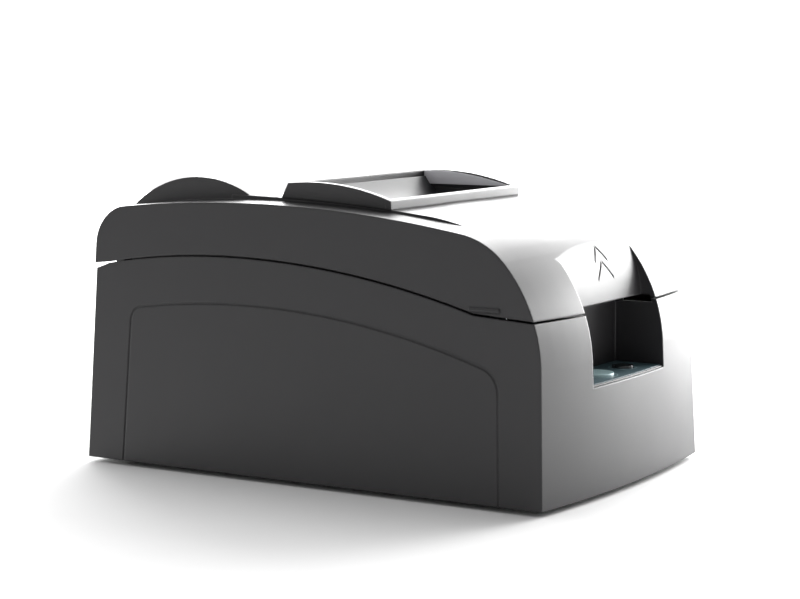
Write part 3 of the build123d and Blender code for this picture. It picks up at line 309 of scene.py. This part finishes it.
# %% Printed film
FEED_RING_MM = 10.6
MODE_RING_MM = 6.4
RING_HALF_WIDTH_MM = 0.25


def middle_of(node):
    """Middle of a CAD node's box."""
    low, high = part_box(node)
    return (Vector(low) + Vector(high)) / 2


def printed_film(name, ground_hex, ring_hex, rings):
    """Velvet polyester film. Each printed ring is a middle and a radius in millimetres."""
    material, tree, output, place = start(name)
    colour = None
    for middle, radius_mm in rings:
        flat = add(tree, "ShaderNodeVectorMath", [(0, place)], operation="MULTIPLY")
        flat.inputs[1].default_value = (1, 1, 0)
        reach = add(
            tree, "ShaderNodeVectorMath", [(0, flat.outputs["Vector"])], operation="DISTANCE")
        reach.inputs[1].default_value = (middle[0], middle[1], 0)
        band = add(tree, "ShaderNodeMath", [(0, reach.outputs["Value"])], operation="COMPARE")
        band.inputs[1].default_value = radius_mm * MM
        band.inputs[2].default_value = RING_HALF_WIDTH_MM * MM
        mixed = add(
            tree, "ShaderNodeMixRGB", [("Fac", band.outputs["Value"])], Color2=linear(ring_hex))
        if colour is None:
            mixed.inputs["Color1"].default_value = linear(ground_hex)
        else:
            tree.links.new(colour, mixed.inputs["Color1"])
        colour = mixed.outputs["Color"]
    velvet = add(tree, "ShaderNodeTexNoise", [("Vector", place)], Scale=per_metre(0.3), Detail=2.0)
    bump = add(
        tree, "ShaderNodeBump", [("Height", velvet.outputs["Fac"])],
        Strength=0.3, Distance=0.03 * MM)
    shader = add(
        tree, "ShaderNodeBsdfPrincipled",
        [("Base Color", colour), ("Normal", bump.outputs["Normal"])],
        Roughness=0.42, IOR=1.6)
    tree.links.new(shader.outputs["BSDF"], output.inputs["Surface"])
    return material


RINGS = [(middle_of("feed_button"), FEED_RING_MM), (middle_of("mode_button"), MODE_RING_MM)]
FILM = printed_film("teal_polyester_film", "41585f", "8fa7ac", RINGS)
print("rings at", [[round(c, 4) for c in middle] for middle, radius_mm in RINGS])

# %% [markdown]
# ### Lamp windows
# Three small windows let the panel lamps show. Clear acrylic with a diffusing back looks pale and
# slightly green while the lamp is off. A little transmission under a smooth skin gives the depth.

# %% Lamp windows
def lamp_window(name, clear_hex, cloudy_hex):
    """Smooth acrylic that lets a little light in, cloudy inside."""
    material, tree, output, place = start(name)
    cloud = add(tree, "ShaderNodeTexNoise", [("Vector", place)], Scale=per_metre(1.2), Detail=2.0)
    tone = add(
        tree, "ShaderNodeMixRGB", [("Fac", cloud.outputs["Fac"])],
        Color1=linear(clear_hex), Color2=linear(cloudy_hex))
    shader = add(
        tree, "ShaderNodeBsdfPrincipled", [("Base Color", tone.outputs["Color"])],
        Roughness=0.12, IOR=1.49, Transmission_Weight=0.35)
    tree.links.new(shader.outputs["BSDF"], output.inputs["Surface"])
    return material


LAMP_ACRYLIC = lamp_window("diffusing_lamp_acrylic", "96a58c", "b8c4ae")
print("material", LAMP_ACRYLIC.name)

# %% [markdown]
# ### Metals
# Sheet steel is galvanised, so its zinc shows spangle: crystals some millimetres wide, each a
# little lighter or darker. Shafts are ground, with fine rings round them. Screws are zinc plated,
# with a yellow-blue tint. The print head's body is cast aluminium, with the grain of the die. The
# motors' cans are drawn and plated. One recipe does all of them: cell tone, stretched scratches,
# and a metal's own colour at the default IOR.

# %% Metals
def metal(name, light_hex, dark_hex, roughness, cell_mm, scratch_mm, bump_height):
    """Metal with crystal cells and fine scratches. The scratch size is given along x, y and z."""
    material, tree, output, place = start(name)
    cell = add(tree, "ShaderNodeTexVoronoi", [("Vector", place)], Scale=per_metre(cell_mm))
    tone = add(
        tree, "ShaderNodeMixRGB", [("Fac", cell.outputs["Color"])],
        Color1=linear(dark_hex), Color2=linear(light_hex))
    stretch = add(tree, "ShaderNodeMapping", [("Vector", place)])
    stretch.inputs["Scale"].default_value = [per_metre(size) for size in scratch_mm]
    scratch = add(
        tree, "ShaderNodeTexNoise", [("Vector", stretch.outputs["Vector"])], Scale=1.0, Detail=3.0)
    gloss = add(
        tree, "ShaderNodeMapRange", [("Value", scratch.outputs["Fac"])],
        From_Min=0.3, From_Max=0.7, To_Min=roughness - 0.06, To_Max=roughness + 0.08)
    edge = add(tree, "ShaderNodeBevel", samples=4, Radius=0.2 * MM)
    bump = add(
        tree, "ShaderNodeBump",
        [("Height", scratch.outputs["Fac"]), ("Normal", edge.outputs["Normal"])],
        Strength=bump_height, Distance=0.02 * MM)
    shader = add(
        tree, "ShaderNodeBsdfPrincipled",
        [("Base Color", tone.outputs["Color"]), ("Roughness", gloss.outputs["Result"]),
         ("Normal", bump.outputs["Normal"])],
        Metallic=1.0)
    tree.links.new(shader.outputs["BSDF"], output.inputs["Surface"])
    return material


GALVANISED = metal("galvanised_sheet_steel", "b9bcbf", "8f9396", 0.38, 4.0, (0.5, 0.5, 0.5), 0.2)
GROUND_STEEL = metal("ground_shaft_steel", "d5d6d8", "c5c7c9", 0.16, 8.0, (0.12, 6.0, 6.0), 0.3)
ZINC_SCREW = metal("zinc_plated_screw_steel", "c9c8c0", "b4b4b0", 0.28, 1.5, (0.3, 0.3, 0.3), 0.3)
CAST_ALUMINIUM = metal(
    "die_cast_aluminium", "a9abae", "96989c", 0.5, 1.0, (0.35, 0.35, 0.35), 0.8)
MOTOR_CAN = metal("plated_motor_can", "9d9fa2", "8c8e91", 0.3, 6.0, (4.0, 4.0, 0.15), 0.3)
for each in (GALVANISED, GROUND_STEEL, ZINC_SCREW, CAST_ALUMINIUM, MOTOR_CAN):
    print("metal", each.name)

# %% [markdown]
# ### Circuit board
# Solder mask is a green lacquer over copper, so tracks show through as a lighter green. The joints
# of a brick pattern stand for the tracks, drawn wider than real ones so that they show, and the
# middles of small cells are tinned pads.

# %% Circuit board
def solder_mask(name, ground_hex, track_hex, pad_hex):
    """Green lacquer with lighter tracks under it."""
    material, tree, output, place = start(name)
    tracks = add(
        tree, "ShaderNodeTexBrick", [("Vector", place)],
        Color1=linear(ground_hex), Color2=linear(ground_hex), Mortar=linear(track_hex),
        Scale=per_metre(9.0), Mortar_Size=0.04, Brick_Width=1.7, Row_Height=0.32)
    pads = add(tree, "ShaderNodeTexVoronoi", [("Vector", place)], Scale=per_metre(5.0))
    pad = add(tree, "ShaderNodeMath", [(0, pads.outputs["Distance"])], operation="LESS_THAN")
    pad.inputs[1].default_value = 0.12
    colour = add(
        tree, "ShaderNodeMixRGB",
        [("Fac", pad.outputs["Value"]), ("Color1", tracks.outputs["Color"])],
        Color2=linear(pad_hex))
    shader = add(
        tree, "ShaderNodeBsdfPrincipled", [("Base Color", colour.outputs["Color"])],
        Roughness=0.28, IOR=1.55)
    tree.links.new(shader.outputs["BSDF"], output.inputs["Surface"])
    return material


BOARD = solder_mask("green_solder_mask", "0f5a35", "2c7d4f", "b7bab0")
print("material", BOARD.name)

# %% [markdown]
# ### Inked ribbon
# The ribbon is woven nylon soaked in violet ink. Two crossed waves make the weave, one thread every
# 0.4 mm, drawn twice as coarse as the real one so that it shows.

# %% Inked ribbon
WAVE_SCALE_SHARE = 1 / 20


def woven_ribbon(name, light_hex, dark_hex, thread_mm):
    """Nylon weave darkened by ink."""
    material, tree, output, place = start(name)
    waves = per_metre(thread_mm) * WAVE_SCALE_SHARE
    weft = add(tree, "ShaderNodeTexWave", [("Vector", place)], bands_direction="X", Scale=waves)
    warp = add(tree, "ShaderNodeTexWave", [("Vector", place)], bands_direction="Z", Scale=waves)
    weave = add(
        tree, "ShaderNodeMath", [(0, weft.outputs["Fac"]), (1, warp.outputs["Fac"])],
        operation="MULTIPLY")
    tone = add(
        tree, "ShaderNodeMixRGB", [("Fac", weave.outputs["Value"])],
        Color1=linear(dark_hex), Color2=linear(light_hex))
    bump = add(
        tree, "ShaderNodeBump", [("Height", weave.outputs["Value"])],
        Strength=0.6, Distance=0.1 * MM)
    shader = add(
        tree, "ShaderNodeBsdfPrincipled",
        [("Base Color", tone.outputs["Color"]), ("Normal", bump.outputs["Normal"])],
        Roughness=0.7, Sheen_Weight=0.2)
    tree.links.new(shader.outputs["BSDF"], output.inputs["Surface"])
    return material


INKED_NYLON = woven_ribbon("inked_nylon_ribbon", "2c2540", "14101f", 0.4)
print("material", INKED_NYLON.name)

# %% [markdown]
# ### White board
# The table is a sheet of matt white board. A faint mottling keeps it from being a flat colour.

# %% White board
WHITE_BOARD = moulded("matt_white_board", "f2f2f2", "eeeeee", 0.9, 2.0, 0.05, 0.1)
floor.data.materials.append(WHITE_BOARD)
print("floor finish", WHITE_BOARD.name)

# %% [markdown]
# ## Finishing the CAD pieces
# The record names the slot, that is the kind of finish, of every CAD piece. So one table from slot
# to material finishes all of them, and no piece is forgotten.

# %% Finishing the CAD pieces
FINISHES = {
    "case_plastic": CASE_ABS,
    "guide_plastic": INNER_ABS,
    "foot_rubber": FOOT_RUBBER,
    "roller_rubber": ROLLER_RUBBER,
    "screw_steel": ZINC_SCREW,
    "circuit_board": BOARD,
    "black_plastic": BLACK_NYLON,
    "membrane_film": FILM,
    "button_plastic": TEAL_KEY,
    "lens_plastic": LAMP_ACRYLIC,
    "sheet_steel": GALVANISED,
    "shaft_steel": GROUND_STEEL,
    "head_metal": CAST_ALUMINIUM,
    "motor_metal": MOTOR_CAN,
    "gear_plastic": ACETAL,
    "ribbon_fabric": INKED_NYLON,
}


def finish_node(node_name, material):
    """Gives every material slot of a CAD node one finish."""
    for slot in NODES[node_name].material_slots:
        slot.material = material


for subpart in frame["record"]["subparts"]:
    finish_node(subpart["node"], FINISHES[subpart["material_slot"]])
finish_node("mode_button", BLACK_KEY)
finish_node("drive_belt", BELT_RUBBER)
print("finished", len(NODES), "nodes with", len(FINISHES), "finishes")

# %% [markdown]
# ## Pieces with finer shapes
# Two kinds of piece deserve more than their CAD form: the keys under the finger and the feet under
# the case. Both are round, so both start from a cylinder at its size and place. Their faces are
# then picked by their middle and normal, and shaped in edit mode. The same few helpers serve them
# all.

# %% Helpers for edit mode
SMOOTH_ANGLE = math.radians(35)


def pick_faces(piece, wanted):
    """Selects the faces for which a test of centre and normal holds, and counts them."""
    bpy.ops.mesh.select_all(action="DESELECT")
    mesh = bmesh.from_edit_mesh(piece.data)
    mesh.normal_update()
    found = 0
    for face in mesh.faces:
        hit = wanted(face.calc_center_median(), face.normal)
        face.select_set(hit)
        found += hit
    bmesh.update_edit_mesh(piece.data)
    return found


def start_cylinder(name, middle, radius, low, high, sides):
    """Adds an upright cylinder, applies its transform, and enters edit mode."""
    deselect()
    bpy.ops.mesh.primitive_cylinder_add(
        vertices=sides, radius=radius, depth=high - low,
        location=(middle[0], middle[1], (low + high) / 2))
    piece = bpy.context.object
    piece.name = name
    bpy.ops.object.transform_apply(location=True, rotation=True, scale=True)
    bpy.ops.object.mode_set(mode="EDIT")
    bpy.ops.mesh.select_mode(type="FACE")
    return piece


def finish_piece(piece, material, body, node=None):
    """Leaves edit mode, smooths round faces, sets the material, hangs the piece on its body and
    hides its CAD node.
    """
    bpy.ops.object.mode_set(mode="OBJECT")
    bpy.ops.object.shade_smooth_by_angle(angle=SMOOTH_ANGLE)
    piece.data.materials.clear()
    piece.data.materials.append(material)
    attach(piece, body)
    if node:
        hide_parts(node)
    print(piece.name, len(piece.data.polygons), "faces")
    return piece


print("round faces are smoothed up to", round(math.degrees(SMOOTH_ANGLE)), "degrees")

# %% [markdown]
# ### Dished keys
# A finger should find a key without looking, so a moulded key has a shallow dish in its face and a
# soft rim. The top's edge is bevelled for the rim, and the top is inset again and again, each ring
# pushed down a little less than the one before, which makes the dish. The flange that keeps the key
# in and the stem that works the switch are extruded from the underside, so the key stays one closed
# piece. At rest the flange lies just under the panel plate.

# %% Dished keys
FLANGE_REACH = 0.7 * MM
FLANGE_THICKNESS = 1.0 * MM
FLANGE_TOP = Vector(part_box("panel_plate")[0]).z - 0.3 * MM
STEM_RADIUS = 1.5 * MM
RIM_ROUND = 0.45 * MM
DISH_DEPTH = 0.6 * MM
DISH_SHARE = 0.9
DISH_RINGS = 6
KEY_SIDES = 96


def dished_key(name, node, material, body):
    """Builds a round key with dish, rim, flange and stem, in place of a CAD key."""
    low, high = (Vector(c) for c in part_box(node))
    middle = (low + high) / 2
    flange_radius = (high.x - low.x) / 2
    radius = flange_radius - FLANGE_REACH
    key = start_cylinder(name, middle, radius, FLANGE_TOP, high.z, KEY_SIDES)
    pick_faces(key, lambda centre, normal: normal.z > 0.9)
    bpy.ops.mesh.bevel(offset=RIM_ROUND, segments=4, affect="EDGES")
    pick_faces(key, lambda centre, normal: normal.z > 0.999)
    for ring in range(DISH_RINGS):
        bpy.ops.mesh.inset(thickness=(radius - RIM_ROUND) * DISH_SHARE / DISH_RINGS)
        share = (2 * (DISH_RINGS - ring) - 1) / DISH_RINGS ** 2
        bpy.ops.transform.translate(value=(0, 0, -DISH_DEPTH * share))
    pick_faces(key, lambda centre, normal: normal.z < -0.9)
    bpy.ops.mesh.extrude_region_move()
    grow = flange_radius / radius
    bpy.ops.transform.resize(
        value=(grow, grow, 1), center_override=(middle.x, middle.y, FLANGE_TOP))
    bpy.ops.mesh.extrude_region_move(TRANSFORM_OT_translate={"value": (0, 0, -FLANGE_THICKNESS)})
    bpy.ops.mesh.inset(thickness=flange_radius - STEM_RADIUS)
    stem_drop = low.z - FLANGE_TOP + FLANGE_THICKNESS
    bpy.ops.mesh.extrude_region_move(TRANSFORM_OT_translate={"value": (0, 0, stem_drop)})
    finish_piece(key, material, body, node)


dished_key("feed_key_moulding", "feed_button", TEAL_KEY, "feed_key")
dished_key("mode_key_moulding", "mode_button", BLACK_KEY, "mode_key")

# %% [markdown]
# ### Places of repeated pieces
# The four feet are one CAD node. Their places are read from the node's own mesh: its points are
# grouped into columns that stand apart by more than a few millimetres, and each group gives a box.

# %% Places of repeated pieces
FOOT_GAP = 5 * MM


def groups_of(node, gap):
    """Boxes of the separate columns of a CAD node, as pairs of corners."""
    points = [vertex.co.copy() for vertex in NODES[node].data.vertices]
    points.sort(key=lambda point: (point.x > 0, point.y))
    groups = [[points[0]]]
    for point in points[1:]:
        last = groups[-1][-1]
        if (point.x > 0) != (last.x > 0) or point.y - last.y > gap:
            groups.append([])
        groups[-1].append(point)
    boxes = []
    for group in groups:
        low = Vector([min(p[i] for p in group) for i in range(3)])
        high = Vector([max(p[i] for p in group) for i in range(3)])
        boxes.append((low, high))
    return boxes


FEET = groups_of("feet", FOOT_GAP)
print("feet", len(FEET))

# %% [markdown]
# ### Feet
# A moulded rubber foot has a rounded lower edge, so that it doesn't peel, and a hollow face that
# grips. The foot is modelled once. Each other foot is a copy with its own mesh, moved into place
# and the move applied.

# %% Feet
FOOT_ROUND = 0.7 * MM
FOOT_HOLLOW = 0.5 * MM
FOOT_RIM_SHARE = 0.25
FOOT_SIDES = 64


def copy_to(piece, shift, name):
    """Copies a piece with its own mesh, moved by a shift that is then applied."""
    copy = piece.copy()
    copy.data = piece.data.copy()
    copy.name = name
    bpy.context.collection.objects.link(copy)
    copy.data.transform(Matrix.Translation(shift))
    return copy


def foot_at(corners, name):
    """Models one foot from its box: soft lower edge and hollow face."""
    low, high = corners
    middle = (low + high) / 2
    radius = (high.x - low.x) / 2
    foot = start_cylinder(name, middle, radius, low.z, high.z, FOOT_SIDES)
    pick_faces(foot, lambda centre, normal: normal.z < -0.9)
    bpy.ops.mesh.bevel(offset=FOOT_ROUND, segments=4, affect="EDGES")
    pick_faces(foot, lambda centre, normal: normal.z < -0.999)
    bpy.ops.mesh.inset(thickness=radius * FOOT_RIM_SHARE)
    bpy.ops.mesh.inset(thickness=FOOT_HOLLOW)
    bpy.ops.transform.translate(value=(0, 0, FOOT_HOLLOW))
    return finish_piece(foot, FOOT_RUBBER, "case", "feet")


first_foot = foot_at(FEET[0], "foot_1")
first_foot_middle = (FEET[0][0] + FEET[0][1]) / 2
for number, corners in enumerate(FEET[1:], 2):
    shift = (corners[0] + corners[1]) / 2 - first_foot_middle
    another = copy_to(first_foot, shift, "foot_%d" % number)
    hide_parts("feet")
print("feet made", len(FEET))

# %% [markdown]
# ### Pale plates of the paper exit: painted reflection
# Inside the paper exit the side walls look paler than the frame, because they catch more light and
# mirror the bright paper guide. That light and reflection are painted here: thin pale plates face
# the walls, and their pale grey stands in for it. They may be faced with thin plates, so that is how
# they are made here. A plate starts as a block at its place. Its top must follow the frame's arched
# rim, so planes through neighbouring points of that arch cut it off one after another, and each cut
# is filled. A small bevel softens its edges. The plates stand for no CAD node: they are added to the
# cover and ride on it.

# %% Pale cheeks
# The plates' pale grey is painted light and reflection, not a colour of the frame.
PAINTED_REFLECTION_FINISH = moulded("painted_reflection_pale_grey", "e4e3e8", "dcdbe0", 0.45, 0.5, 0.15, 0.2)
CHEEK_THICKNESS = 0.9 * MM
CHEEK_HEIGHT = 10.0 * MM
CHEEK_ROUND = 0.15 * MM
CHEEK_LOW = 131.0 * MM
CHEEK_FRONT = -30.0 * MM
CHEEK_REAR = 18.2 * MM
CHEEK_OUTER = 56.4 * MM
RIM_GAP = 0.35 * MM
ARCH = [(-34.0, 130.7), (-24.0, 133.3), (-14.0, 135.5), (-4.0, 137.1), (6.0, 138.0), (20.0, 138.0)]


def painted_reflection_plate(name, side):
    """Models the pale plate on one side wall, whose colour is painted reflection, its top cut to the
    arch.
    """
    deselect()
    across = side * (CHEEK_OUTER - CHEEK_THICKNESS / 2)
    along = (CHEEK_FRONT + CHEEK_REAR) / 2
    bpy.ops.mesh.primitive_cube_add(size=1, location=(across, along, CHEEK_LOW + CHEEK_HEIGHT / 2))
    plate = bpy.context.object
    plate.name = name
    plate.scale = (CHEEK_THICKNESS, CHEEK_REAR - CHEEK_FRONT, CHEEK_HEIGHT)
    bpy.ops.object.transform_apply(location=True, rotation=True, scale=True)
    bpy.ops.object.mode_set(mode="EDIT")
    for (y0, z0), (y1, z1) in zip(ARCH, ARCH[1:]):
        bpy.ops.mesh.select_all(action="SELECT")
        outward = Vector((0, z0 - z1, y1 - y0)).normalized()
        bpy.ops.mesh.bisect(
            plane_co=(0, y0 * MM, z0 * MM - RIM_GAP), plane_no=outward,
            use_fill=True, clear_outer=True)
    bpy.ops.mesh.select_all(action="SELECT")
    bpy.ops.mesh.bevel(offset=CHEEK_ROUND, segments=2, affect="EDGES")
    bpy.ops.mesh.select_all(action="SELECT")
    bpy.ops.mesh.normals_make_consistent(inside=False)
    finish_piece(plate, PAINTED_REFLECTION_FINISH, "cover")


painted_reflection_plate("exit_painted_reflection_left", -1)
painted_reflection_plate("exit_painted_reflection_right", 1)
